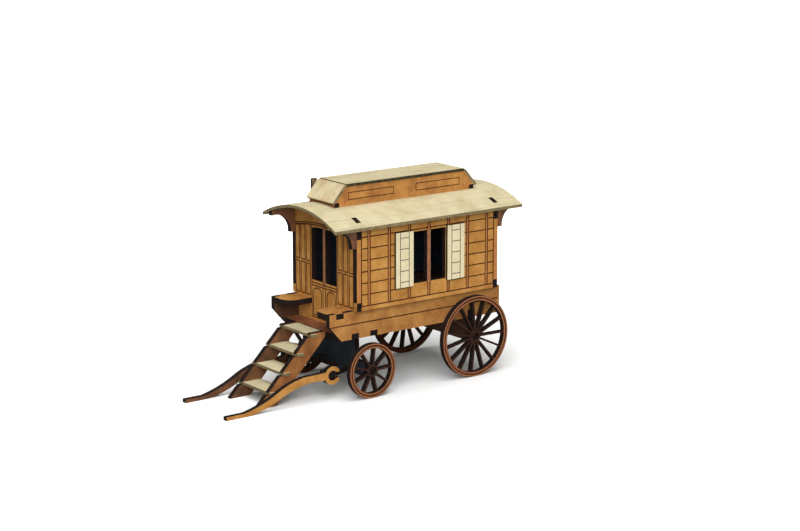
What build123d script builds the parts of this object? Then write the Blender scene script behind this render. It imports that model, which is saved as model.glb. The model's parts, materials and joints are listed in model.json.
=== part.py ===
"""A small vardo wagon cut from thin sheet and card, slotted and glued together.

Lengths are in millimetres. X runs forward, Y to the wagon's left and Z up.
Places along X are given from the rear axle, and heights from the ground.
"""
from build123d import *
import os
from math import sqrt

# Stock
sheet = 2.0
card = 1.0

# Clearances
running_gap = 0.05
side_gap = 0.25
turn_gap = 0.1
overrun = 5.0

# Wheels, all cut from the sheet
wheelbase = 46.2
rear_wheel_r = 15.0
front_wheel_r = 9.85
wheel_side_gap = 1.6
rim_width = 1.8
spoke_width = 0.7
hub_r = 2.3
rear_spokes = 15
front_spokes = 9
journal = 2.0
journal_recess = 0.6

# Chassis plates, one along each side
chassis_half = 18.1
chassis_top = 31.4
chassis_depth = 10.0
chassis_back = 13.85
porch_length = 10.5
nose_height = 4.4
nose_run = 5.0

# Deck, tail board, and the shelves and low floor of the porch
shelf_half_gap = 7.6
shelf_corner_r = 4.5
tab_width = 3.2
shelf_tab_inset = 4.4
floor_tab_inset = 10.9
floor_tab_lag = 3.1
floor_lag = 6.2
floor_lip = 0.8

# Body
wall_lap = 1.6
body_back = 11.5
body_lead = 5.3
lug_height = 3.0
upper_lug_rise = 0.1

# Roof of one bent card
roof_r = 49.0
crown_rise = 10.2
eave_side = 2.65
eave_front = 10.9
eave_rear = 9.3
roof_tab_width = 3.4

# Wings of the side walls, under the roof's ends
wing_foot_drop = 2.9
wing_toe_drop = 1.5
wing_tip_rise = 3.9
wing_foot = 2.0
wing_reach = 10.0
wing_hollow = 2.1

# Windows and shutters
sill_z = 38.1
window_height = 18.6
window_width = 14.8
door_window_width = 15.2
muntin = 1.5
door_arch = 0.8
shutter_gap = 0.2
shutter_width = 7.7
shutter_height = 19.8

# Clerestory on the roof
lantern_half = 7.7
lantern_inset_rear = 1.8
lantern_lead = 0.7
lantern_slope = 4.7
lantern_strip_rise = 1.0
lantern_rise = 6.4
lantern_eave = 0.4
lantern_lip = 0.6

# Stovepipe, a flat stub of card
pipe_length = 2.1
pipe_inset = 4.2
pipe_y = -12.0
pipe_rise = 6.6

# Rear axle board
rear_beam_low = 12.8
rear_beam_top = 19.6
rear_post_width = 3.6
rear_lap = 3.0

# Fore-carriage
turntable_r = 9.5
kingpin_r = 1.5
bolster_half = 12.2
front_beam_low = 7.0
front_beam_top = 12.1
plate_z = 7.5
plate_half = 14.25
plate_root_half = 9.2
plate_tenon_half = 4.0
fork_half = 8.4
fork_root_half = 6.6
fork_bridge = 2.2

# Shafts, hooked on the side tabs of the plate
shaft_inner_y = 12.25
hook_lead = 12.0
hook_r = 3.3
hook_tab = 2.8
shaft_length = 43.8
shaft_upper = (
    # x ahead of the hook, z, from the hook to the tip
    (3.8, 10.0),
    (12.3, 9.8),
    (18.2, 8.3),
    (23.8, 5.7),
    (29.8, 3.1),
    (36.5, 1.3),
)
shaft_lower = (
    # x ahead of the hook, z, from the tip back to the hook
    (34.8, 0.0),
    (28.4, 1.3),
    (21.8, 3.9),
    (15.8, 6.2),
    (8.3, 7.5),
    (3.8, 7.3),
)
shaft_tip = 1.3

# Steps
stringer_inner_y = 7.4
stringer_top_z = 23.4
stringer_heel_z = 21.6
stringer_run_back = 20.7
stringer_run_front = 29.0
tread_half = 10.0
tread_depth = 7.4
tread_slot = 2.6
tread_rise = 5.95
tread_going = 5.8
tread_count = 4
top_tread_z = 23.1
top_tread_depth = 6.3

# Worked out from the sizes above
wheel_inner_y = chassis_half + wheel_side_gap
wall_half = chassis_half + wall_lap
rear_post_inner_y = chassis_half - rear_post_width
body_reach = wheelbase + body_lead
chassis_reach = body_reach + porch_length
chassis_low = chassis_top - chassis_depth
chassis_inner = chassis_half - sheet
shelf_tab_x = chassis_reach - shelf_tab_inset
floor_tabs_x = (chassis_reach - floor_tab_inset, wheelbase - floor_tab_lag)
floor_back = wheelbase - floor_lag
floor_reach = chassis_reach - nose_run + floor_lip
wall_inner = wall_half - sheet
front_wall_x = body_reach - sheet
body_middle = (body_reach - body_back) / 2
floor_top = chassis_low + sheet
head_z = sill_z + window_height
roof_crown = head_z + crown_rise
upper_lug_z = head_z + upper_lug_rise
wing_foot_z = head_z - wing_foot_drop
wing_toe_z = head_z - wing_toe_drop
wing_tip_z = head_z + wing_tip_rise
roof_axis_z = roof_crown - roof_r
roof_inner_r = roof_r - card
roof_half = wall_half + eave_side
roof_reach = body_reach + eave_front
roof_back = body_back + eave_rear
roof_tab_y = wall_half - roof_tab_width / 2
lantern_back = body_back - lantern_inset_rear
lantern_reach = body_reach + lantern_lead
lantern_strip_z = roof_crown + lantern_strip_rise
lantern_top_z = roof_crown + lantern_rise
pipe_x = body_reach - pipe_inset
pipe_top_z = roof_crown + pipe_rise
bore_r = journal / sqrt(2) + running_gap
turntable_low = chassis_low - turn_gap - sheet
hook_x = wheelbase + hook_lead
hook_z = plate_z + sheet / 2
shaft_reach = hook_x + shaft_length
stringer_foot_back = floor_reach + stringer_run_back
stringer_foot_front = floor_reach + stringer_run_front
top_tread_x = floor_reach + top_tread_depth
origin_x = (shaft_reach - roof_back) / 2
parts = {}


def upright(outline, y_high, thickness=sheet):
    """A sheet standing along the wagon, its left face at y_high."""
    return extrude(Plane.XZ.offset(-y_high) * outline, thickness)


def across(outline, x_low, thickness=sheet):
    """A sheet standing across the wagon, its rear face at x_low."""
    return extrude(Plane.YZ.offset(x_low) * outline, thickness)


def level(outline, z_low, thickness=sheet):
    """A sheet lying flat, its underside at z_low."""
    return extrude(Plane.XY.offset(z_low) * outline, thickness)


def rect(low_u, high_u, low_v, high_v):
    """A rectangle between two places along each of its axes."""
    middle = Pos((low_u + high_u) / 2, (low_v + high_v) / 2)
    return middle * Rectangle(high_u - low_u, high_v - low_v)


def band(middle, width, low_v, high_v):
    """A rectangle of one width about its middle, between two heights."""
    return rect(middle - width / 2, middle + width / 2, low_v, high_v)


def shape(*corners):
    """A face bounded by straight edges."""
    return make_face(Polyline(*corners, close=True))


def drum(radius):
    """A round bar about the roof's axis, longer than the wagon."""
    bar = Cylinder(radius, 2 * (shaft_reach + roof_back))
    return Pos(0, 0, roof_axis_z) * Rot(0, 90, 0) * bar


def keep(name, solid):
    """Store a piece, moved so that the origin lies under the wagon's middle."""
    parts[name] = Pos(-origin_x, 0, 0) * solid


def keep_pair(name, solid):
    """Store a left piece and its mirror image on the right."""
    keep(name + "_left", solid)
    keep(name + "_right", mirror(solid, about=Plane.XZ))


def wheel(radius, spokes, first_angle):
    """A spoked wheel cut from one sheet, its centre at the origin."""
    disc = Circle(radius) - Circle(radius - rim_width) + Circle(hub_r)
    spoke = rect(hub_r / 2, radius - rim_width / 2, -spoke_width / 2, spoke_width / 2)
    for index in range(spokes):
        disc += Rot(0, 0, first_angle + index * 360 / spokes) * spoke
    return disc - Circle(bore_r)


def build_wheels():
    """Four wheels that turn on the square journals of the axle boards."""
    table = (
        # name, radius, spokes, angle of a spoke, place of the axle
        ("wheel_rear", rear_wheel_r, rear_spokes, 85, 0),
        ("wheel_front", front_wheel_r, front_spokes, 97, wheelbase),
    )
    for name, radius, spokes, angle, axle_x in table:
        outline = Pos(axle_x, radius) * wheel(radius, spokes, angle)
        keep_pair(name, upright(outline, wheel_inner_y + sheet))


def build_chassis():
    """Two side plates, with notches for the tabs of what they carry."""
    plate = shape(
        (-chassis_back, chassis_low),
        (chassis_reach - nose_run, chassis_low),
        (chassis_reach, chassis_top - nose_height),
        (chassis_reach, chassis_top),
        (-chassis_back, chassis_top),
    )
    plate -= band(shelf_tab_x, tab_width, chassis_top - sheet, chassis_top)
    for middle in floor_tabs_x:
        plate -= band(middle, tab_width, chassis_low, floor_top)
    plate -= band(0, sheet, chassis_low, chassis_low + rear_lap)
    keep_pair("chassis_plate", upright(plate, chassis_half))


def build_floors():
    """The deck, its tail board, the porch's low floor and the shelves beside it."""
    deck = rect(-chassis_back, front_wall_x, -chassis_inner, chassis_inner)
    keep("deck", level(deck, chassis_top - sheet))
    tail = rect(-chassis_inner, chassis_inner, chassis_low, chassis_top - sheet)
    keep("tail_board", across(tail, -chassis_back))

    floor = rect(floor_back, floor_reach, -chassis_inner, chassis_inner)
    for middle in floor_tabs_x:
        floor += band(middle, tab_width, -chassis_half, chassis_half)
    floor -= Pos(wheelbase, 0) * Circle(kingpin_r + running_gap)
    keep("porch_floor", level(floor, chassis_low))

    shelf = rect(body_reach, chassis_reach, shelf_half_gap, chassis_inner)
    corner = shelf.vertices().sort_by(Axis.X)[-2:].sort_by(Axis.Y)[0]
    shelf = fillet(corner, shelf_corner_r)
    shelf += band(shelf_tab_x, tab_width, chassis_inner, chassis_half)
    keep_pair("porch_shelf", level(shelf, chassis_top - sheet))


def end_wall(foot_z):
    """An end wall's outline, with lugs at its sides and tabs through the roof."""
    wall = rect(-wall_inner, wall_inner, chassis_top, roof_crown)
    wall += rect(-wall_half, wall_half, upper_lug_z, roof_crown)
    wall = wall & (Pos(0, roof_axis_z) * Circle(roof_inner_r))
    for side in (-1, 1):
        wall += band(side * roof_tab_y, roof_tab_width, upper_lug_z, roof_crown)
    wall = wall & (Pos(0, roof_axis_z) * Circle(roof_r))
    wall += rect(-wall_half, wall_half, chassis_top, chassis_top + lug_height)
    if foot_z < chassis_top:
        wall += rect(-chassis_inner, chassis_inner, foot_z, chassis_top)
    return wall


def panes(middle, width, arch):
    """The two openings of a window, each side of its muntin."""
    low_side = middle - width / 2
    high_side = middle + width / 2
    opening = rect(low_side, high_side, sill_z, head_z - arch)
    if arch:
        bow = SagittaArc((high_side, head_z - arch), (low_side, head_z - arch), -arch)
        opening += make_face([bow, Line(bow @ 1, bow @ 0)])
    return opening - band(middle, muntin, sill_z, head_z)


def wing(wall_x, outward):
    """The bracket that a side wall sends out under the roof, up to the crown."""
    foot_x = wall_x + outward * wing_foot
    tip_x = wall_x + outward * wing_reach
    toe = (foot_x, wing_toe_z)
    tip = (tip_x, wing_tip_z)
    sides = Polyline(tip, (tip_x, roof_crown), (wall_x, roof_crown),
                     (wall_x, wing_foot_z), (foot_x, wing_foot_z), toe)
    hollow = SagittaArc(toe, tip, outward * wing_hollow)
    return make_face([*sides.edges(), hollow])


def build_body():
    """End walls, side walls with their wings, and the shutters."""
    front = end_wall(floor_top) - panes(0, door_window_width, door_arch)
    keep("front_wall", across(front, front_wall_x))
    rear = end_wall(chassis_top) - panes(0, window_width, 0)
    keep("rear_wall", across(rear, -body_back))

    side = rect(-body_back, body_reach, chassis_top, roof_crown)
    side += wing(body_reach, 1) + wing(-body_back, -1)
    for end_x in (-body_back, front_wall_x):
        side -= rect(end_x, end_x + sheet, chassis_top, chassis_top + lug_height)
        side -= rect(end_x, end_x + sheet, upper_lug_z, roof_crown)
    side -= panes(body_middle, window_width, 0)
    keep_pair("side_wall", upright(side, wall_half) & drum(roof_inner_r))

    shutter_low = (sill_z + head_z - shutter_height) / 2
    hung = (window_width + shutter_width) / 2 + shutter_gap
    for end, direction in (("front", 1), ("rear", -1)):
        middle = body_middle + direction * hung
        outline = band(middle, shutter_width, shutter_low, shutter_low + shutter_height)
        keep_pair("shutter_" + end, upright(outline, wall_half + card, card))


def build_roof():
    """The bent roof card, slotted for the end walls' tabs, and the stovepipe."""
    ring = Pos(0, roof_axis_z) * (Circle(roof_r) - Circle(roof_inner_r))
    ring = ring & rect(-roof_half, roof_half, head_z, roof_crown)
    roof = across(ring, -roof_back, roof_back + roof_reach)
    for end_x in (-body_back, front_wall_x):
        for side in (-1, 1):
            slot = band(side * roof_tab_y, roof_tab_width, head_z, roof_crown)
            roof -= across(slot, end_x)
    keep("roof", roof)
    pipe = band(pipe_x, pipe_length, head_z, pipe_top_z)
    pipe = upright(pipe, pipe_y + card / 2, card) - drum(roof_r)
    keep("stovepipe", pipe)


def build_lantern():
    """The clerestory: side boards, a strip across each end, and three cards."""
    slope_front = lantern_reach - lantern_slope
    slope_back = lantern_slope - lantern_back
    front_strip = lantern_reach - sheet
    outline = shape(
        (-lantern_back, head_z),
        (lantern_reach, head_z),
        (lantern_reach, lantern_strip_z),
        (slope_front, lantern_top_z),
        (slope_back, lantern_top_z),
        (-lantern_back, lantern_strip_z),
    )
    for strip_x in (-lantern_back, front_strip):
        outline -= rect(strip_x, strip_x + sheet, head_z, lantern_strip_z)
    keep_pair("lantern_side", upright(outline, lantern_half) - drum(roof_r))
    strip = rect(-lantern_half, lantern_half, head_z, lantern_strip_z)
    keep("lantern_strip_front", across(strip, front_strip) - drum(roof_r))
    keep("lantern_strip_rear", across(strip, -lantern_back) - drum(roof_r))

    half = lantern_half + lantern_eave
    cover = rect(slope_back, slope_front, -half, half)
    keep("lantern_top", level(cover, lantern_top_z, card))
    rise = lantern_top_z - lantern_strip_z
    run = lantern_slope
    length = sqrt(run**2 + rise**2)
    lift_x = card * rise / length
    lift_z = card * run / length
    lip_x = lantern_lip * run / length
    lip_z = lantern_lip * rise / length
    front = shape(
        (lantern_reach + lip_x, lantern_strip_z - lip_z),
        (lantern_reach + lip_x + lift_x, lantern_strip_z - lip_z + lift_z),
        (slope_front + lift_x, lantern_top_z + lift_z),
        (slope_front, lantern_top_z + lift_z),
        (slope_front, lantern_top_z),
    )
    keep("lantern_slope_front", upright(front, half, 2 * half))
    rear = shape(
        (-lantern_back - lip_x, lantern_strip_z - lip_z),
        (-lantern_back - lip_x - lift_x, lantern_strip_z - lip_z + lift_z),
        (slope_back - lift_x, lantern_top_z + lift_z),
        (slope_back, lantern_top_z + lift_z),
        (slope_back, lantern_top_z),
    )
    keep("lantern_slope_rear", upright(rear, half, 2 * half))


def build_rear_axle():
    """The board across the chassis that carries the rear wheels."""
    shoulder = wheel_inner_y - side_gap
    board = rect(-shoulder, shoulder, rear_beam_low, rear_beam_top)
    for side in (-1, 1):
        middle = side * (rear_post_inner_y + chassis_half) / 2
        width = chassis_half - rear_post_inner_y
        board += band(middle, width, rear_beam_top, chassis_low)
        middle = side * (chassis_inner + chassis_half) / 2
        board += band(middle, sheet, chassis_low, chassis_low + rear_lap)
    tip = wheel_inner_y + sheet - journal_recess
    board += rect(-tip, tip, rear_wheel_r - journal / 2, rear_wheel_r + journal / 2)
    keep("rear_axle_board", across(board, -sheet / 2))


def build_fore_carriage():
    """Turntable, kingpin, front axle board and the plate that takes the shafts."""
    disc = Pos(wheelbase, 0) * (Circle(turntable_r) - Circle(kingpin_r))
    keep("turntable", level(disc, turntable_low))
    pin = Pos(wheelbase, 0) * Circle(kingpin_r)
    keep("kingpin", level(pin, turntable_low, floor_top - turntable_low))

    shoulder = wheel_inner_y - side_gap
    board = rect(-bolster_half, bolster_half, front_beam_low, turntable_low)
    board += rect(-shoulder, shoulder, front_beam_low, front_beam_top)
    tip = wheel_inner_y + sheet - journal_recess
    board += rect(-tip, tip, front_wheel_r - journal / 2, front_wheel_r + journal / 2)
    board -= rect(-plate_tenon_half, plate_tenon_half, plate_z, plate_z + sheet)
    keep("front_axle_board", across(board, wheelbase - sheet / 2))

    board_front = wheelbase + sheet / 2
    neck_x = hook_x - hook_r - side_gap
    narrow = shaft_inner_y - side_gap
    plate = shape(
        (board_front, -plate_root_half),
        (neck_x, -narrow),
        (hook_x, -narrow),
        (hook_x, narrow),
        (neck_x, narrow),
        (board_front, plate_root_half),
    )
    plate += band(hook_x, hook_tab, -plate_half, plate_half)
    plate -= shape(
        (board_front + fork_bridge, -fork_root_half),
        (neck_x, -fork_half),
        (hook_x + overrun, -fork_half),
        (hook_x + overrun, fork_half),
        (neck_x, fork_half),
        (board_front + fork_bridge, fork_root_half),
    )
    plate += rect(board_front - sheet, board_front, -plate_tenon_half, plate_tenon_half)
    keep("draught_plate", level(plate, plate_z))


def build_shafts():
    """Two curved shafts, each with a hook that turns on a tab of the plate."""
    upper = [(hook_x + x, z) for x, z in shaft_upper]
    lower = [(hook_x + x, z) for x, z in shaft_lower]
    bends = [ThreePointArc(*upper[1:4]), ThreePointArc(*upper[3:6])]
    bends += [ThreePointArc(*lower[0:3]), ThreePointArc(*lower[2:5])]
    top = Polyline((hook_x, upper[0][1]), *upper[:2])
    nose = Polyline(upper[-1], (shaft_reach, shaft_tip), (shaft_reach, 0), lower[0])
    under = Polyline(*lower[4:], (hook_x, lower[-1][1]), (hook_x, upper[0][1]))
    sides = [*top.edges(), *bends, *nose.edges(), *under.edges()]
    outline = make_face(sides) + Pos(hook_x, hook_z) * Circle(hook_r)
    seat_r = sqrt(hook_tab**2 + sheet**2) / 2 + running_gap
    mouth = sheet / 2 + running_gap
    outline -= Pos(hook_x, hook_z) * Circle(seat_r)
    outline -= rect(hook_x - hook_r - overrun, hook_x, hook_z - mouth, hook_z + mouth)
    keep_pair("shaft", upright(outline, shaft_inner_y + sheet))


def build_steps():
    """Two stringers that stand on the ground, and the treads in their slots."""
    stringer = shape(
        (stringer_foot_back, 0),
        (stringer_foot_front, 0),
        (top_tread_x, stringer_top_z),
        (floor_reach, stringer_top_z),
        (floor_reach, stringer_heel_z),
    )
    for index in range(tread_count):
        top_z = top_tread_z - index * tread_rise
        front_x = top_tread_x + index * tread_going
        back_x = max(front_x - tread_depth, floor_reach)
        slot_x = front_x - tread_slot
        stringer -= rect(slot_x, front_x + overrun, top_z - card, top_z)
        tread = rect(slot_x, front_x, -tread_half, tread_half)
        tread += rect(back_x, front_x, -stringer_inner_y, stringer_inner_y)
        keep("tread_" + str(index + 1), level(tread, top_z - card, card))
    keep_pair("stringer", upright(stringer, stringer_inner_y + sheet))


build_wheels()
build_chassis()
build_floors()
build_body()
build_roof()
build_lantern()
build_rear_axle()
build_fore_carriage()
build_shafts()
build_steps()

os.makedirs("parts", exist_ok=True)
for name, solid in parts.items():
    export_step(solid, "parts/" + name + ".step")
    print(name, round(solid.volume, 2), len(solid.solids()))
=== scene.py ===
# %% [markdown]
# A small wagon cut by laser from thin board and card, then slotted together.
# The pieces come from the frame at their true size. This script gives every
# sheet its faces, its charred cut edges and its engraved lines, and then sets
# a plain studio round it.

# %% Load the frame
import json
from math import cos, pi, radians, sin, sqrt

import bmesh
import bpy
from mathutils import Matrix, Vector


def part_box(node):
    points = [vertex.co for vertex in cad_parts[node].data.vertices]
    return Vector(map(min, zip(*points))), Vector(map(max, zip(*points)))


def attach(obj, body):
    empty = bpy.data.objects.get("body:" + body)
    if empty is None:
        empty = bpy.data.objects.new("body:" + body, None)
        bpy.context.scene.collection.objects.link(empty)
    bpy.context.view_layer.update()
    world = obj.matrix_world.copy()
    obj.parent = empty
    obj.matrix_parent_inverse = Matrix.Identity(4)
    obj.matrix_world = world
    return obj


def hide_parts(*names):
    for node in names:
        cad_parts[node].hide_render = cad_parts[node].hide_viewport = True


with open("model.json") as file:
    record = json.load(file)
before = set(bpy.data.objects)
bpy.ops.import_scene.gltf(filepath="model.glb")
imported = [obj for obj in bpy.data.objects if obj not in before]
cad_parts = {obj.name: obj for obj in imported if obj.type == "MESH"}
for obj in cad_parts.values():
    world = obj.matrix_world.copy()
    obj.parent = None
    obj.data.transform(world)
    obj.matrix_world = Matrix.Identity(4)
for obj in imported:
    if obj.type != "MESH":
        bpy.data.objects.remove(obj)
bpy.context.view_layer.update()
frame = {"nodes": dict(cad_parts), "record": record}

mm = 0.001
print("nodes in the frame:", len(frame["nodes"]))

# %% [markdown]
# The camera stands ahead of the wagon on its left, a little above the roof. A
# long lens keeps the sides almost parallel. A camera could be set by eye, but
# then every edge would be off by a little, so its lens, turn, dip and place were
# fitted to the wheels, the sills and the edges of the roof.

# %% Camera
photo_width = 800
focal_pixels = 2056.8
camera_turn = radians(-37.07)
camera_dip = radians(12.77)
camera_place = Vector((415.70, 580.22, 204.63)) * mm
sensor_width = 36

camera_data = bpy.data.cameras.new("camera")
camera_data.sensor_width = sensor_width
camera_data.lens = focal_pixels * sensor_width / photo_width
camera_data.clip_start = 10 * mm
camera = bpy.data.objects.new("camera", camera_data)
bpy.context.scene.collection.objects.link(camera)
look = Vector((cos(camera_dip) * sin(camera_turn), -cos(camera_dip) * cos(camera_turn),
               -sin(camera_dip)))
camera.rotation_euler = look.to_track_quat("-Z", "Y").to_euler()
camera.location = camera_place
bpy.context.scene.camera = camera
bpy.context.scene.view_settings.view_transform = "Standard"
print("lens, mm:", round(camera_data.lens, 2))

# %% [markdown]
# Colours are written as they look on a screen and turned to the linear
# values that the shader works in. A node takes a call to make it, one for each
# setting and one for each link. One helper does all of these, so that each
# finish reads as a short list.

# %% Helpers for materials


def linear(hex_colour):
    """An sRGB hex colour as the linear RGBA that a shader expects."""
    channels = []
    for start in (1, 3, 5):
        value = int(hex_colour[start:start + 2], 16) / 255
        channels.append(value / 12.92 if value <= 0.04045 else ((value + 0.055) / 1.055) ** 2.4)
    return (*channels, 1.0)


def add(tree, kind, settings=None, values=None, links=None):
    """Add a node: its own settings, values for its inputs, and links into them."""
    node = tree.nodes.new(kind)
    for name, value in (settings or {}).items():
        setattr(node, name, value)
    for name, value in (values or {}).items():
        node.inputs[name].default_value = value
    for name, output in (links or {}).items():
        tree.links.new(output, node.inputs[name])
    return node


def blank(name):
    """An empty material with its Object coordinates and its output."""
    material = bpy.data.materials.new(name)
    material.use_nodes = True
    tree = material.node_tree
    tree.nodes.clear()
    place = add(tree, "ShaderNodeTexCoord")
    output = add(tree, "ShaderNodeOutputMaterial")
    return material, tree, place.outputs["Object"], output.inputs["Surface"]


def per_metre(size_mm):
    """The scale of a texture whose features are this many millimetres wide."""
    return 1 / (size_mm * mm)


# %% [markdown]
# Medium density fibreboard is pressed wood fibre. Its faces are sanded flat, so
# they have no grain, only soft clouds a few millimetres wide and short fibres
# that are paler or darker. A wood texture would give it rings that it lacks, so
# two noises do it: one for the clouds, and a finer one, drawn out along the
# board, for the fibres. Those are drawn 0.45 mm wide and about 1 mm long,
# coarser than real ones, so that they show.

# %% Fibreboard, sanded


def make_board(name, pale, mid, dark, roughness=0.82):
    """Sanded fibreboard: clouds of three tones and short fibres."""
    material, tree, place, surface = blank(name)
    clouds = add(tree, "ShaderNodeTexNoise", values={"Scale": per_metre(5.5), "Detail": 5,
                 "Roughness": 0.6}, links={"Vector": place})
    cloud_ramp = add(tree, "ShaderNodeValToRGB", links={"Fac": clouds.outputs["Fac"]})
    cloud_ramp.color_ramp.elements[0].position = 0.32
    cloud_ramp.color_ramp.elements[0].color = linear(dark)
    cloud_ramp.color_ramp.elements[1].position = 0.68
    cloud_ramp.color_ramp.elements[1].color = linear(pale)
    middle = cloud_ramp.color_ramp.elements.new(0.5)
    middle.color = linear(mid)
    stretch = add(tree, "ShaderNodeMapping", values={"Scale": (0.4, 0.4, 1.0)},
                  links={"Vector": place})
    fibres = add(tree, "ShaderNodeTexNoise", values={"Scale": per_metre(0.45), "Detail": 3,
                 "Roughness": 0.7}, links={"Vector": stretch.outputs["Vector"]})
    fibre_range = add(tree, "ShaderNodeMapRange", values={"From Min": 0.3, "From Max": 0.7,
                      "To Min": 0.86, "To Max": 1.12}, links={"Value": fibres.outputs["Fac"]})
    toned = add(tree, "ShaderNodeMix", {"data_type": "RGBA", "blend_type": "MULTIPLY"},
                {0: 1.0}, {6: cloud_ramp.outputs["Color"], 7: fibre_range.outputs["Result"]})
    bump = add(tree, "ShaderNodeBump", values={"Strength": 0.25, "Distance": 0.03 * mm},
               links={"Height": fibres.outputs["Fac"]})
    shader = add(tree, "ShaderNodeBsdfPrincipled", values={"Roughness": roughness,
                 "IOR": 1.45}, links={"Normal": bump.outputs["Normal"]})
    tree.links.new(toned.outputs[2], shader.inputs["Base Color"])
    tree.links.new(shader.outputs["BSDF"], surface)
    return material


board_face = make_board("fibreboard_sanded", "#D0974F", "#C28840", "#AF7331")
# The back of each sheet is smoke-stained, and this dark brown is also painted shade on the
# backs, the deck and the kingpin, which lie in shade.
board_smoke_and_shade = make_board("fibreboard_smoked_and_shaded", "#5A3A20", "#472C18", "#341F11", 0.88)
# Blue-black painted shade, for the backs in the closed cabin and for the fore-carriage in the
# dark under the porch.
board_dark_shade = make_board("fibreboard_dark_painted_shade", "#26303C", "#1B232D", "#131920", 0.9)
# Painted shade for the inner faces of the shafts and stringers.
board_inner_shade = make_board("fibreboard_inner_painted_shade", "#80522E", "#643F24", "#452B18", 0.86)
board_wheel = make_board("fibreboard_scorched", "#7C4C30", "#613824", "#47281A")
# A darker copy of the sanded board: painted shade on the chassis plates under the body's
# overhang, on the clerestory sides and on the near porch shelf.
board_light_shade = make_board("fibreboard_light_painted_shade", "#C68D49", "#B27A3C", "#9A632D")
# A darker copy of the board: painted shade on the stringers, under the porch and the treads.
board_stringer_shade = make_board("fibreboard_stringer_painted_shade", "#AD733B", "#965F2F", "#7A4A22")
# A deeper brown copy of the board: painted shade on the porch floor and on the clerestory
# strips under the eaves of the slope cards.
board_deep_shade = make_board("fibreboard_deep_painted_shade", "#A8693C", "#8C5230", "#6A3A22")

# %% [markdown]
# A laser chars the fibreboard that it cuts through. The edge is dark brown,
# nearly black, in patches where the beam stepped. A plain dark colour would
# still shine grey at a low angle, and char is porous and hardly shines, so the
# specular level is low where the beam burnt deep. An engraved line is only
# scorched, so it is browner, and a warmed strip is paler still.

# %% Charred edge and scorched line


def make_char(name, dark, brown, roughness, specular=0.5):
    """Sheet burnt by the beam: two tones in patches 1.2 mm wide."""
    material, tree, place, surface = blank(name)
    patches = add(tree, "ShaderNodeTexNoise", values={"Scale": per_metre(1.2), "Detail": 4,
                  "Roughness": 0.65}, links={"Vector": place})
    ramp = add(tree, "ShaderNodeValToRGB", links={"Fac": patches.outputs["Fac"]})
    ramp.color_ramp.elements[0].position = 0.35
    ramp.color_ramp.elements[0].color = linear(dark)
    ramp.color_ramp.elements[1].position = 0.7
    ramp.color_ramp.elements[1].color = linear(brown)
    bump = add(tree, "ShaderNodeBump", values={"Strength": 0.3, "Distance": 0.04 * mm},
               links={"Height": patches.outputs["Fac"]})
    shader = add(tree, "ShaderNodeBsdfPrincipled",
                 values={"Roughness": roughness, "Specular IOR Level": specular},
                 links={"Base Color": ramp.outputs["Color"], "Normal": bump.outputs["Normal"]})
    tree.links.new(shader.outputs["BSDF"], surface)
    return material


board_edge = make_char("fibreboard_charred_edge", "#130F0F", "#2B1F1A", 0.85, 0.1)
board_line = make_char("fibreboard_scorched_line", "#3A1C0C", "#5A2E14", 0.8, 0.15)
board_warm = make_char("fibreboard_warmed_strip", "#B5703A", "#C68447", 0.8)
board_ring = make_char("fibreboard_warmed_ring", "#A5673A", "#BE7C48", 0.8)
board_spoke = make_char("fibreboard_scorched_spoke", "#231714", "#4A2D20", 0.85, 0.1)
board_bar = make_char("fibreboard_toasted_bar", "#84553A", "#A8714A", 0.8)
# Painted shade, dark brown, for the upper part of the brackets' outside.
board_bracket_shade = make_char("fibreboard_bracket_painted_shade", "#4A2D1E", "#8A5A33", 0.8)

# %% [markdown]
# The roof, shutters and treads are pale grey-cream card. It is more matt than
# the board, with soft clouds and a few sooty specks, and the card of the roof
# and the clerestory also has faint long scores. Single paper fibres would be too
# small to show, so a noise for each of these is enough. Its cut edges are brown
# grey, because card chars less than board. The card of the roof, the clerestory
# and the treads is darker than the shutters', as painted shade: on the treads for
# the shade under the porch, on the roof and clerestory to take back the light of
# the lamp above. The roof's underside is smoke-stained and darker still as
# painted shade.

# %% Card


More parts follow.
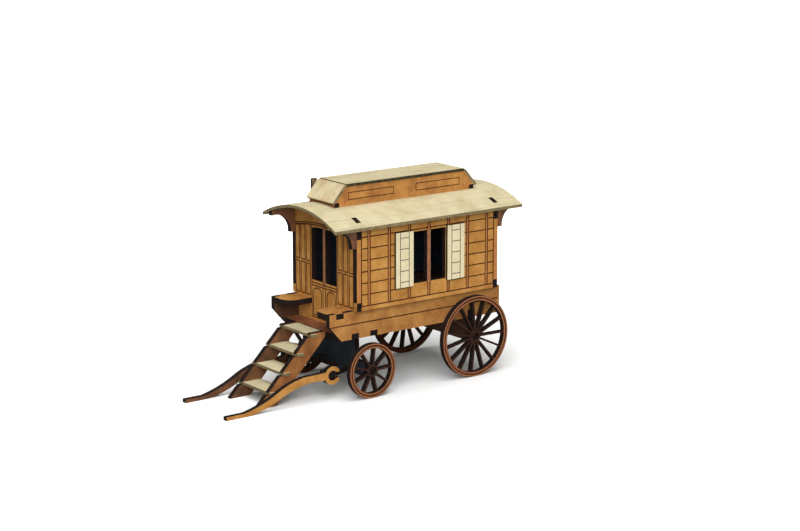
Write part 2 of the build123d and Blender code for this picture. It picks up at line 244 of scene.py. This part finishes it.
def make_card(name, pale, dull, speck, score=1.0):
    """Uncoated card: soft clouds, sparse sooty specks and faint long scores."""
    material, tree, place, surface = blank(name)
    clouds = add(tree, "ShaderNodeTexNoise", values={"Scale": per_metre(7.0), "Detail": 5,
                 "Roughness": 0.62}, links={"Vector": place})
    ramp = add(tree, "ShaderNodeValToRGB", links={"Fac": clouds.outputs["Fac"]})
    ramp.color_ramp.elements[0].position = 0.3
    ramp.color_ramp.elements[0].color = linear(dull)
    ramp.color_ramp.elements[1].position = 0.62
    ramp.color_ramp.elements[1].color = linear(pale)
    specks = add(tree, "ShaderNodeTexNoise", values={"Scale": per_metre(0.8), "Detail": 2,
                 "Roughness": 0.5}, links={"Vector": place})
    speck_range = add(tree, "ShaderNodeMapRange", values={"From Min": 0.66, "From Max": 0.74,
                      "To Min": 0.0, "To Max": 0.55}, links={"Value": specks.outputs["Fac"]})
    mixed = add(tree, "ShaderNodeMix", {"data_type": "RGBA"}, {7: linear(speck)},
                {0: speck_range.outputs["Result"], 6: ramp.outputs["Color"]})
    bump = add(tree, "ShaderNodeBump", values={"Strength": 0.2, "Distance": 0.02 * mm},
               links={"Height": specks.outputs["Fac"]})
    shader = add(tree, "ShaderNodeBsdfPrincipled", values={"Roughness": 0.9},
                 links={"Normal": bump.outputs["Normal"]})
    stretch = add(tree, "ShaderNodeMapping", values={"Scale": (0.03, 1.0, 0.2)},
                  links={"Vector": place})
    scores = add(tree, "ShaderNodeTexNoise", values={"Scale": per_metre(1.1), "Detail": 2,
                 "Roughness": 0.5}, links={"Vector": stretch.outputs["Vector"]})
    score_range = add(tree, "ShaderNodeMapRange", values={"From Min": 0.56, "From Max": 0.66,
                      "To Min": 1.0, "To Max": score}, links={"Value": scores.outputs["Fac"]})
    scored = add(tree, "ShaderNodeMix", {"data_type": "RGBA", "blend_type": "MULTIPLY"},
                 {0: 1.0}, {6: mixed.outputs[2], 7: score_range.outputs["Result"]})
    tree.links.new(scored.outputs[2], shader.inputs["Base Color"])
    tree.links.new(shader.outputs["BSDF"], surface)
    return material


card_face = make_card("card_uncoated", "#F1E4BE", "#E4D5AA", "#A3936A")
# Painted shade: the card of the roof and clerestory, darker than the shutters'.
card_roof_shade = make_card("card_roof_painted_shade", "#C4B895", "#B2A580", "#8C7F5A", 0.84)
# The roof's underside: smoke-stained, and darker still as painted shade.
card_smoke_and_shade = make_card("card_smoked_and_shaded", "#6E5F42", "#54472F", "#3A3020")
card_smoked = make_card("card_smoked", "#CCBF9A", "#B09469", "#785D3B", 0.9)
# Painted shade: the treads' card, darker for the shade under the porch.
card_tread_shade = make_card("card_tread_painted_shade", "#CABF9B", "#B0A480", "#857A58")
card_edge = make_char("card_browned_edge", "#28241A", "#4E482F", 0.85, 0.15)
card_rim = make_char("card_toasted_rim", "#6A5C40", "#93825A", 0.85)
card_line = make_char("card_scorched_line", "#4C4A3C", "#77705A", 0.85)
card_stub = make_char("card_scorched_stub", "#5A4C34", "#857352", 0.85)
print("materials:", len(bpy.data.materials))

# %% [markdown]
# A sheet shows its outside, its back and the burnt edge all round. Each could be
# painted by hand, but a sheet's polygons face only three ways. So each node of
# the frame is copied, its loose triangles are welded, and every polygon is given
# the finish that its direction calls for. The copy then stands for the node, so
# the frame itself stays as it is.

# %% Copy a node and sort its polygons
nodes = frame["nodes"]
body_of_node = {name: body for body, names in frame["record"]["behaviour"]["bodies"].items()
                for name in names}
weld_gap = 0.0005 * mm
flat_angle = radians(0.5)
broad_face = 0.5


def welded(name):
    """A bmesh of a node with its doubles merged and its flat areas joined."""
    mesh = bmesh.new()
    mesh.from_mesh(nodes[name].data)
    bmesh.ops.remove_doubles(mesh, verts=mesh.verts, dist=weld_gap)
    bmesh.ops.dissolve_limit(mesh, angle_limit=flat_angle, verts=mesh.verts,
                             edges=mesh.edges)
    return mesh


def to_piece(mesh, name, materials):
    """Turn a bmesh into an object at the origin, with these materials."""
    data = bpy.data.meshes.new(name)
    mesh.to_mesh(data)
    mesh.free()
    for material in materials:
        data.materials.append(material)
    piece = bpy.data.objects.new(name, data)
    bpy.context.scene.collection.objects.link(piece)
    return piece


def sheet_copy(name, out, face, edge, back):
    """A copy of a node with one finish on its outside, its cut edge and its back."""
    mesh = welded(name)
    direction = Vector(out)
    for polygon in mesh.faces:
        facing = polygon.normal.dot(direction)
        if facing > broad_face:
            polygon.material_index = 0
        elif facing < -broad_face:
            polygon.material_index = 2
        else:
            polygon.material_index = 1
    return to_piece(mesh, name + "_cut", [face, edge, back])


# %% [markdown]
# Engraved lines are shallow grooves that the beam burns. They could be drawn in
# the material, but then they would have no depth and would not be in the
# mesh itself. So a thin bar is laid along each line, a Boolean modifier takes
# the bars out of the sheet, and the groove keeps the bars' own scorched finish.
# The lines are drawn 0.42 mm wide, a little wider than a beam burns them, so that
# they show. A bar only 0.04 mm deep gives an area another finish and leaves its
# shape.

# %% Engraving
line_width = 0.42 * mm
line_depth = 0.22 * mm
warm_depth = 0.04 * mm
bar_lift = 0.1 * mm


class Engraving:
    """Bars to take out of one face of a sheet. Places are (along, up) on it.

    A bar's finish is its number in the list of finishes that carve is given.
    """

    def __init__(self, origin, along, up, out):
        self.mesh = bmesh.new()
        self.origin = Vector(origin)
        self.along = Vector(along)
        self.up = Vector(up)
        self.out = Vector(out)

    def bar(self, start, end, width=line_width, depth=line_depth, finish=0):
        """A straight bar between two places, half its width longer at each end."""
        run = Vector(end) - Vector(start)
        middle = (Vector(start) + Vector(end)) / 2
        forward = (self.along * run.x + self.up * run.y).normalized()
        side = self.out.cross(forward)
        centre = (self.origin + self.along * middle.x + self.up * middle.y
                  + self.out * (bar_lift - depth) / 2)
        size = (run.length + width, width, bar_lift + depth)
        turn = Matrix((forward, side, self.out)).transposed().to_4x4()
        place = Matrix.Translation(centre) @ turn @ Matrix.Diagonal((*size, 1))
        made = bmesh.ops.create_cube(self.mesh, size=1, matrix=place)
        for polygon in {face for vert in made["verts"] for face in vert.link_faces}:
            polygon.material_index = finish

    def ring(self, radius, width=line_width, depth=line_depth, finish=0, steps=96):
        """A round groove about the origin of the engraving."""
        inner = radius - width / 2
        before = set(self.mesh.faces)
        profile = []
        for reach, height in ((inner, -depth), (inner + width, -depth),
                              (inner + width, bar_lift), (inner, bar_lift)):
            place = self.origin + self.along * reach + self.out * height
            profile.append(self.mesh.verts.new(place))
        edges = [self.mesh.edges.new((profile[i], profile[(i + 1) % 4])) for i in range(4)]
        bmesh.ops.spin(self.mesh, geom=profile + edges, cent=self.origin, axis=self.out,
                       angle=2 * pi, steps=steps, use_merge=True, use_duplicate=False)
        for polygon in set(self.mesh.faces) - before:
            polygon.material_index = finish

    def path(self, places, width=line_width):
        """Bars from place to place along a line."""
        for start, end in zip(places, places[1:]):
            self.bar(start, end, width)

    def frame(self, low, high, width=line_width):
        """A rectangle between two corners."""
        corners = [low, (high[0], low[1]), high, (low[0], high[1]), low]
        self.path(corners, width)

    def carve(self, piece, *finishes):
        """Take the bars out of a piece and leave their finishes in the grooves."""
        bmesh.ops.recalc_face_normals(self.mesh, faces=self.mesh.faces)
        cutter = to_piece(self.mesh, piece.name + "_bars", finishes)
        modifier = piece.modifiers.new("engraving", "BOOLEAN")
        modifier.operation = "DIFFERENCE"
        modifier.solver = "EXACT"
        modifier.use_self = True
        modifier.material_mode = "TRANSFER"
        modifier.object = cutter
        depsgraph = bpy.context.evaluated_depsgraph_get()
        carved = bpy.data.meshes.new_from_object(piece.evaluated_get(depsgraph))
        piece.modifiers.clear()
        old, piece.data = piece.data, carved
        bpy.data.meshes.remove(old)
        bpy.data.objects.remove(cutter)


def smooth_curves(piece, angle=30):
    """Shade the curved parts smooth and keep every sharper edge hard."""
    mesh = bmesh.new()
    mesh.from_mesh(piece.data)
    for polygon in mesh.faces:
        polygon.smooth = True
    for edge in mesh.edges:
        flat = edge.calc_face_angle(pi) < radians(angle)
        edge.smooth = flat and len({p.material_index for p in edge.link_faces}) == 1
    mesh.to_mesh(piece.data)
    mesh.free()


def stand_in(piece, name):
    """Let the finished copy stand for its node and move with its body."""
    smooth_curves(piece)
    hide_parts(name)
    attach(piece, body_of_node[name])


x_axis = (1, 0, 0)
y_axis = (0, 1, 0)
z_axis = (0, 0, 1)

# %% [markdown]
# The side walls are one sheet each, with planks and posts engraved on the
# outside. Seven posts stand at even steps about the window, each drawn as a
# pair of lines with a warmed strip between, and seven lines run along between
# them. Behind the shutters and across the window there are no planks. The posts
# could be strips of their own, but on the real wall they are only burnt in, so
# they are drawn in one loop. The sheet's ends stand out past the end walls as
# brackets. The upper part of each bracket's outside is painted shade, dark
# brown. Their backs are brown, and the same sheet's back is painted blue-black
# shade in the cabin.

# %% Side walls
front_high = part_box("front_wall")[1]
rear_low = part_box("rear_wall")[0]
side_low, side_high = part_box("side_wall_left")
shutter_low, shutter_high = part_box("shutter_front_left")
board_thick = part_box("deck")[1].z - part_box("deck")[0].z
wall_middle = (front_high.x + rear_low.x) / 2
cabin_half = (front_high.x - rear_low.x) / 2 - board_thick


def make_back_with_cabin_shade():
    """The back of a side wall: painted shade, blue-black, in the closed cabin, brown out on the
    brackets.
    """
    material, tree, place, surface = blank("fibreboard_back_with_painted_cabin_shade")
    clouds = add(tree, "ShaderNodeTexNoise", values={"Scale": per_metre(2.5), "Detail": 4,
                 "Roughness": 0.6}, links={"Vector": place})
    brown = add(tree, "ShaderNodeMix", {"data_type": "RGBA"},
                {6: linear("#6A4228"), 7: linear("#8A5A34")}, {0: clouds.outputs["Fac"]})
    # Blue-black painted shade for the back in the closed cabin, between the end walls.
    blue_black_shade = add(tree, "ShaderNodeMix", {"data_type": "RGBA"},
               {6: linear("#131A22"), 7: linear("#2A3644")}, {0: clouds.outputs["Fac"]})
    split = add(tree, "ShaderNodeSeparateXYZ", links={"Vector": place})
    cabin_shade_mask = add(tree, "ShaderNodeMath", {"operation": "COMPARE"},
                 {1: wall_middle, 2: cabin_half}, {0: split.outputs["X"]})
    both = add(tree, "ShaderNodeMix", {"data_type": "RGBA"}, None,
               {0: cabin_shade_mask.outputs["Value"], 6: brown.outputs[2], 7: blue_black_shade.outputs[2]})
    shader = add(tree, "ShaderNodeBsdfPrincipled", values={"Roughness": 0.9},
                 links={"Base Color": both.outputs[2]})
    tree.links.new(shader.outputs["BSDF"], surface)
    return material


wall_back = make_back_with_cabin_shade()
post_pitch = 8.75 * mm
post_width = 0.95 * mm
post_count = 7
window_post = 3
shutter_posts = (2, 4)
window_bays = (3, 4)
plank_bottom = side_low.z + 1.6 * mm
plank_top = side_high.z + 2 * mm
plank_pitch = 4.08 * mm
plank_count = 7
foot_line_past = 0.5 * mm
window_sill = 38.1 * mm
window_head = 56.7 * mm
window_clear = 0.2 * mm
behind_shutter = 1 * mm
corner_strip = 1.2 * mm
muntin_width = 2.2 * mm
wing_foot = side_high.z - 11 * mm
wing_overlap = 0.2 * mm


def engrave_side(name, sign):
    """Posts and planks on the outside of one side wall."""
    face_y = side_high.y * sign
    drawing = Engraving((0, face_y, 0), x_axis, z_axis, (0, sign, 0))
    corner_front = front_high.x - board_thick
    corner_rear = rear_low.x + board_thick
    for corner, face, reach in ((corner_front, front_high.x, side_high.x),
                                (corner_rear, rear_low.x, side_low.x)):
        drawing.bar((corner, plank_bottom), (corner, plank_top))
        strip = (corner + face) / 2
        drawing.bar((strip, plank_bottom), (strip, wing_foot), corner_strip, warm_depth, 1)
        # The upper part of each bracket's outside gets the dark brown bracket finish: painted
        # shade.
        wing = (face + reach) / 2
        wing_width = abs(reach - face) + wing_overlap
        drawing.bar((wing, wing_foot), (wing, plank_top), wing_width, warm_depth, 2)
    edges = [corner_rear]
    for index in range(post_count):
        centre = wall_middle + (index - (post_count - 1) / 2) * post_pitch
        edges += [centre - post_width / 2, centre + post_width / 2]
        stretches = [(plank_bottom, plank_top)]
        if index == window_post:
            stretches = [(plank_bottom, window_sill - window_clear),
                         (window_head + window_clear, plank_top)]
        elif index in shutter_posts:
            stretches = [(plank_bottom, shutter_low.z + behind_shutter),
                         (shutter_high.z - behind_shutter, plank_top)]
        for low, high in stretches:
            drawing.bar((edges[-2], low), (edges[-2], high))
            drawing.bar((edges[-1], low), (edges[-1], high))
            drawing.bar((centre, low), (centre, high), post_width, warm_depth, 1)
    edges.append(corner_front)
    drawing.bar((wall_middle, window_sill), (wall_middle, window_head), muntin_width,
                warm_depth, 3)
    drawing.bar((rear_low.x - foot_line_past, plank_bottom),
                (front_high.x + foot_line_past, plank_bottom))
    for row in range(1, plank_count):
        z = plank_bottom + row * plank_pitch
        for bay in range(post_count + 1):
            if row < plank_count - 1 and bay in window_bays:
                continue
            drawing.bar((edges[2 * bay], z), (edges[2 * bay + 1], z))
    piece = sheet_copy(name, drawing.out, board_face, board_edge, wall_back)
    drawing.carve(piece, board_line, board_warm, board_bracket_shade, board_bar)
    stand_in(piece, name)
    return len(piece.data.polygons)


for side, sign in (("left", 1), ("right", -1)):
    print("side wall", side, "polygons:", engrave_side("side_wall_" + side, sign))

# %% [markdown]
# The end walls carry upright panels on each side, a double arched line under the
# roof, and on the front the door itself: a line down each side, a double line
# under the window, a centre stile and a pair of arched panels. The arched lines
# are drawn as short straight bars, because at this size the corners don't show.
# The real door's window ends 0.9 mm higher than the solid's. A second cut could
# make it taller, but moving the corners of its head leaves no seam.

# %% End walls
panel_count = 3
panel_start = 8.4 * mm
panel_pitch = 3.4 * mm
panel_width = 2.55 * mm
panel_side_gap = 0.1 * mm
panel_foot = side_low.z + 0.8 * mm
panel_rail = 43.5 * mm
panel_rail_gap = 0.95 * mm
arc_radius = 90 * mm
arc_crown = 59.0 * mm
arc_gap = 0.65 * mm
door_half = 7.6 * mm
door_foot = 24.6 * mm
door_rail_low = 36.1 * mm
door_rail_high = 37.1 * mm
door_stile_half = 0.8 * mm
door_panel_inner = 1.7 * mm
door_panel_outer = 6.7 * mm
door_panel_foot = door_foot + 0.9 * mm
door_panel_head = door_rail_low - 0.7 * mm
door_panel_arch = 2.0 * mm
head_rise = 0.9 * mm
head_zone = (54 * mm, 58 * mm)
head_margin = 0.1 * mm
muntin_top = 56 * mm + head_rise


def arc_height(y, crown=arc_crown):
    """The height of the arched line at a distance from the middle."""
    return crown - arc_radius + sqrt(arc_radius**2 - y**2)


def arc_places(crown, half, steps=16):
    """Places along the arched line from one side to the other."""
    ys = [-half + 2 * half * step / steps for step in range(steps + 1)]
    return [(y, arc_height(y, crown)) for y in ys]


def arched_panel(drawing, low, high, rise, steps=10):
    """A panel whose head is half an oval between two straight sides."""
    middle = (low[0] + high[0]) / 2
    half = (high[0] - low[0]) / 2
    spring = high[1] - rise
    head = [(middle + half * cos(pi * step / steps), spring + rise * sin(pi * step / steps))
            for step in range(steps + 1)]
    drawing.path([low, (high[0], low[1]), *head, low])


def raise_window_head(piece):
    """Lift the head of the door's window by moving its corners and its bow up."""
    moved = [vert.co for vert in piece.data.vertices
             if abs(vert.co.y) < door_half + head_margin
             and head_zone[0] < vert.co.z < head_zone[1]]
    for corner in moved:
        corner.z += head_rise
    tops = sorted({round(corner.z / mm, 2) for corner in moved})
    print("window head lifted to", tops[0], "to", tops[-1], "mm:", len(moved), "corners")


def engrave_end(name, out, door):
    """Panels, arched lines and, on the front, the door."""
    face_x = front_high.x if out > 0 else rear_low.x
    drawing = Engraving((face_x, 0, 0), y_axis, z_axis, (out, 0, 0))
    half = front_high.y - board_thick
    for crown in (arc_crown, arc_crown - arc_gap):
        drawing.path(arc_places(crown, half))
    for side in (-1, 1):
        for index in range(panel_count):
            inner = panel_start + index * panel_pitch
            outer = min(inner + panel_width, half - panel_side_gap)
            top = arc_height(outer, arc_crown - arc_gap)
            for low, high in ((panel_foot, panel_rail), (panel_rail + panel_rail_gap, top)):
                corners = sorted((side * inner, side * outer))
                drawing.frame((corners[0], low), (corners[1], high))
    if door:
        door_top = arc_height(door_half) - arc_gap
        for side in (-1, 1):
            drawing.bar((side * door_half, door_foot), (side * door_half, door_top))
            stile = side * door_stile_half
            drawing.bar((stile, door_foot), (stile, door_rail_low))
            low, high = sorted((side * door_panel_inner, side * door_panel_outer))
            arched_panel(drawing, (low, door_panel_foot), (high, door_panel_head),
                         door_panel_arch)
        for z in (door_foot, door_rail_low, door_rail_high):
            drawing.bar((-door_half, z), (door_half, z))
        drawing.bar((0, door_rail_high + line_width), (0, muntin_top), muntin_width,
                    warm_depth, 1)
    # The end wall's back, in the closed cabin, is painted blue-black shade.
    piece = sheet_copy(name, drawing.out, board_face, board_edge, board_dark_shade)
    if door:
        raise_window_head(piece)
    drawing.carve(piece, board_line, board_bar)
    stand_in(piece, name)
    return len(piece.data.polygons)


print("front wall polygons:", engrave_end("front_wall", 1, True))
print("rear wall polygons:", engrave_end("rear_wall", -1, False))

# %% [markdown]
# One line runs along each chassis plate. The clerestory's sides have two long
# panels. The shutters are louvred: two upright lines and five across. All are
# engraved like the walls, in one shallow pass. Louvres could be slats with gaps,
# but the real ones are only lines on a flat card.

# %% Chassis plates, clerestory sides and shutters
fine_line = 0.3 * mm
plate_line_rise = 5.4 * mm
lantern_panel_shift = 0.4 * mm
lantern_panel_inner = 5.0 * mm
lantern_panel_outer = 24.7 * mm
lantern_panel_foot = 2.3 * mm
lantern_panel_head = 4.8 * mm
louvre_side_shares = (0.25, 0.75)
louvre_shares = (0.1, 0.3, 0.5, 0.7, 0.9)


def engrave_plate(name, sign):
    """The long line on the outside of a chassis plate."""
    low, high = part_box(name)
    face_y = high.y if sign > 0 else low.y
    drawing = Engraving((0, face_y, 0), x_axis, z_axis, (0, sign, 0))
    z = low.z + plate_line_rise
    drawing.bar((low.x, z), (high.x, z))
    # The plate's outside is painted shade, a darker copy of the board.
    piece = sheet_copy(name, drawing.out, board_light_shade, board_edge, board_smoke_and_shade)
    drawing.carve(piece, board_line)
    stand_in(piece, name)


def engrave_lantern(name, sign):
    """Two long panels on the outside of a clerestory side."""
    low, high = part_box(name)
    face_y = high.y if sign > 0 else low.y
    drawing = Engraving((0, face_y, 0), x_axis, z_axis, (0, sign, 0))
    middle = (low.x + high.x) / 2 + lantern_panel_shift
    for side in (-1, 1):
        start, end = sorted((middle + side * lantern_panel_inner,
                             middle + side * lantern_panel_outer))
        drawing.frame((start, low.z + lantern_panel_foot), (end, low.z + lantern_panel_head),
                      fine_line)
    # The clerestory side's outside is painted shade, a darker copy of the board.
    piece = sheet_copy(name, drawing.out, board_light_shade, board_edge, board_smoke_and_shade)
    drawing.carve(piece, board_line)
    stand_in(piece, name)


def engrave_shutter(name, sign):
    """Louvres on the outside of a shutter, placed as shares of its size."""
    low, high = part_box(name)
    face_y = high.y if sign > 0 else low.y
    drawing = Engraving((0, face_y, 0), x_axis, z_axis, (0, sign, 0))
    width = high.x - low.x
    height = high.z - low.z
    left, right = (low.x + share * width for share in louvre_side_shares)
    for x in (left, right):
        drawing.bar((x, low.z), (x, high.z), fine_line)
    for share in louvre_shares:
        z = low.z + share * height
        drawing.bar((left, z), (right, z), fine_line)
    piece = sheet_copy(name, drawing.out, card_face, card_edge, card_face)
    drawing.carve(piece, card_line)
    stand_in(piece, name)


for side, sign in (("left", 1), ("right", -1)):
    engrave_plate("chassis_plate_" + side, sign)
    engrave_lantern("lantern_side_" + side, sign)
    engrave_shutter("shutter_front_" + side, sign)
    engrave_shutter("shutter_rear_" + side, sign)

# %% [markdown]
# The wheels are cut from the same board, spokes and all. A line engraved round
# the rim reads as the tyre, with a warmed ring on each side of it. The spokes are
# so thin that the beam browned their faces too, so one wide shallow ring gives
# all of them a darker finish at once. Painting each spoke would come to the same.

# %% Wheels
rim_width = 1.8 * mm
hub_bore = 1.5 * mm
tyre_line = 0.35 * mm
warm_ring = 0.3 * mm
outer_ring_inset = 0.35 * mm
inner_ring_inset = 0.4 * mm


def engrave_wheel(name, sign):
    """The tyre's rings and the scorched spokes on the outer face of a wheel."""
    low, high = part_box(name)
    centre = (low + high) / 2
    face_y = high.y if sign > 0 else low.y
    drawing = Engraving((centre.x, face_y, centre.z), x_axis, z_axis, (0, sign, 0))
    radius = (high.z - low.z) / 2
    drawing.ring(radius - rim_width / 2, tyre_line)
    drawing.ring(radius - outer_ring_inset, warm_ring, warm_depth, 1)
    drawing.ring(radius - rim_width + inner_ring_inset, warm_ring, warm_depth, 1)
    inner = radius - rim_width
    drawing.ring((hub_bore + inner) / 2, inner - hub_bore, warm_depth, 2)
    piece = sheet_copy(name, drawing.out, board_wheel, board_edge, board_wheel)
    drawing.carve(piece, board_line, board_ring, board_spoke)
    stand_in(piece, name)
    return len(piece.data.polygons)


for end in ("rear", "front"):
    for side, sign in (("left", 1), ("right", -1)):
        polygons = engrave_wheel("wheel_" + end + "_" + side, sign)
        print("wheel", end, side, "polygons:", polygons)

# %% [markdown]
# The rest of the sheets have no engraving. They only need their faces and edges
# told apart. A call for each would repeat itself, so a table gives each one the
# way that its outside looks, its three finishes and its slot.

# %% Plain sheets
up = z_axis
left_out = y_axis
right_out = (0, -1, 0)
ahead = x_axis
behind = (-1, 0, 0)
ahead_and_up = (0.77, 0, 0.64)
behind_and_up = (-0.77, 0, 0.64)
# Many finishes here are painted shade: the dark backs, the deck and the kingpin, the blue-black
# fore-carriage, and the darker copies of board and card on the chassis, porch, stringers,
# treads and clerestory.
plain = (
    # name, way its outside looks, outside, cut edge, back, slot
    ("deck", up, board_smoke_and_shade, board_edge, board_smoke_and_shade, "sheet_board"),
    ("tail_board", behind, board_face, board_edge, board_smoke_and_shade, "sheet_board"),
    ("porch_floor", up, board_deep_shade, board_edge, board_smoke_and_shade, "sheet_board"),
    ("porch_shelf_left", up, board_light_shade, board_edge, board_smoke_and_shade, "sheet_board"),
    ("porch_shelf_right", up, board_face, board_edge, board_smoke_and_shade, "sheet_board"),
    ("lantern_strip_front", ahead, board_deep_shade, board_edge, board_smoke_and_shade, "sheet_board"),
    ("lantern_strip_rear", behind, board_deep_shade, board_edge, board_smoke_and_shade, "sheet_board"),
    ("rear_axle_board", behind, board_face, board_edge, board_smoke_and_shade, "sheet_board"),
    # The fore-carriage is painted blue-black shade on every side.
    ("front_axle_board", ahead, board_dark_shade, board_edge, board_dark_shade, "sheet_board"),
    ("turntable", up, board_dark_shade, board_edge, board_dark_shade, "sheet_board"),
    ("draught_plate", up, board_dark_shade, board_edge, board_dark_shade, "sheet_board"),
    ("shaft_left", left_out, board_face, board_edge, board_inner_shade, "sheet_board"),
    ("shaft_right", right_out, board_face, board_edge, board_inner_shade, "sheet_board"),
    ("stringer_left", left_out, board_stringer_shade, board_edge, board_inner_shade, "sheet_board"),
    ("stringer_right", right_out, board_stringer_shade, board_edge, board_inner_shade, "sheet_board"),
    ("lantern_top", up, card_roof_shade, card_edge, card_roof_shade, "pale_card"),
    ("roof", up, card_roof_shade, card_rim, card_smoke_and_shade, "pale_card"),
    ("tread_1", up, card_tread_shade, card_rim, card_tread_shade, "pale_card"),
    ("tread_2", up, card_tread_shade, card_rim, card_tread_shade, "pale_card"),
    ("tread_3", up, card_tread_shade, card_rim, card_tread_shade, "pale_card"),
    ("tread_4", up, card_tread_shade, card_rim, card_tread_shade, "pale_card"),
    ("lantern_slope_front", ahead_and_up, card_smoked, card_rim, card_roof_shade, "pale_card"),
    ("lantern_slope_rear", behind_and_up, card_roof_shade, card_rim, card_roof_shade, "pale_card"),
    ("stovepipe", left_out, card_stub, card_edge, card_stub, "scorched_card"),
    ("kingpin", up, board_smoke_and_shade, board_smoke_and_shade, board_smoke_and_shade, "plain_dowel"),
)
for name, out, face, edge, back, slot in plain:
    piece = sheet_copy(name, out, face, edge, back)
    stand_in(piece, name)
print("plain sheets:", len(plain))

# %% [markdown]
# The model stands on a sweep of white paper in soft light. One wide lamp hangs
# over it, and a stronger one stands ahead on its left and lights the front and
# the near side. The world fills in a little. A shadow lies on the paper only
# round the wagon: from 50 mm out the paper glows more and more, to plain white
# at 300 mm. Light that bounces off the paper onto the wagon sees a dim grey one,
# so the underside stays dark. Stronger lamps would also give white paper, but
# they would bleach the card.

# %% Studio
floor_reach = 3.0
glow_starts = 0.05
glow_full = 0.3
fill_strength = 0.17
lamp_aim = Vector((0, 0, 35 * mm))


def make_floor_finish():
    """White paper that shows the shadow and keeps its own white elsewhere."""
    material, tree, place, surface = blank("paper_sweep_white")
    matt = add(tree, "ShaderNodeBsdfPrincipled", values={"Roughness": 0.95,
               "Base Color": linear("#FAFAFA")})
    dim = add(tree, "ShaderNodeBsdfPrincipled", values={"Roughness": 0.95,
              "Base Color": linear("#6C6C6A")})
    reach = add(tree, "ShaderNodeVectorMath", {"operation": "LENGTH"}, links={0: place})
    far_off = add(tree, "ShaderNodeMapRange", values={"From Min": glow_starts,
                  "From Max": glow_full, "To Min": 0.0, "To Max": 1.0},
                  links={"Value": reach.outputs["Value"]})
    glow = add(tree, "ShaderNodeEmission", values={"Color": linear("#FFFFFF")},
               links={"Strength": far_off.outputs["Result"]})
    both = add(tree, "ShaderNodeAddShader")
    tree.links.new(matt.outputs["BSDF"], both.inputs[0])
    tree.links.new(glow.outputs["Emission"], both.inputs[1])
    path = add(tree, "ShaderNodeLightPath")
    seen = add(tree, "ShaderNodeMath", {"operation": "MAXIMUM"})
    tree.links.new(path.outputs["Is Camera Ray"], seen.inputs[0])
    tree.links.new(path.outputs["Is Glossy Ray"], seen.inputs[1])
    mix = add(tree, "ShaderNodeMixShader")
    tree.links.new(seen.outputs["Value"], mix.inputs[0])
    tree.links.new(dim.outputs["BSDF"], mix.inputs[1])
    tree.links.new(both.outputs["Shader"], mix.inputs[2])
    tree.links.new(mix.outputs["Shader"], surface)
    return material


floor_mesh = bmesh.new()
bmesh.ops.create_grid(floor_mesh, x_segments=1, y_segments=1, size=floor_reach)
floor = to_piece(floor_mesh, "floor", [make_floor_finish()])

world = bpy.data.worlds.new("studio")
bpy.context.scene.world = world
world.use_nodes = True
sky = world.node_tree
sky.nodes.clear()
light_path = add(sky, "ShaderNodeLightPath")
seen_white = add(sky, "ShaderNodeBackground",
                 values={"Color": linear("#FFFFFF"), "Strength": 1.0})
fill_white = add(sky, "ShaderNodeBackground",
                 values={"Color": linear("#F4F3E8"), "Strength": fill_strength})
world_mix = add(sky, "ShaderNodeMixShader")
sky.links.new(light_path.outputs["Is Camera Ray"], world_mix.inputs[0])
sky.links.new(fill_white.outputs["Background"], world_mix.inputs[1])
sky.links.new(seen_white.outputs["Background"], world_mix.inputs[2])
world_output = add(sky, "ShaderNodeOutputWorld")
sky.links.new(world_mix.outputs["Shader"], world_output.inputs["Surface"])


def make_lamp(name, where, size, power):
    """A wide lamp that looks at the middle of the wagon."""
    data = bpy.data.lights.new(name, "AREA")
    data.size = size
    data.energy = power
    lamp = bpy.data.objects.new(name, data)
    lamp.location = where
    lamp.rotation_euler = (lamp_aim - Vector(where)).to_track_quat("-Z", "Y").to_euler()
    bpy.context.scene.collection.objects.link(lamp)


make_lamp("lamp_above", where=(0.05, 0.1, 0.95), size=0.7, power=7.2)
make_lamp("lamp_front", where=(0.52, 0.8, 0.56), size=0.9, power=12.5)
print("lamps:", len(bpy.data.lights))
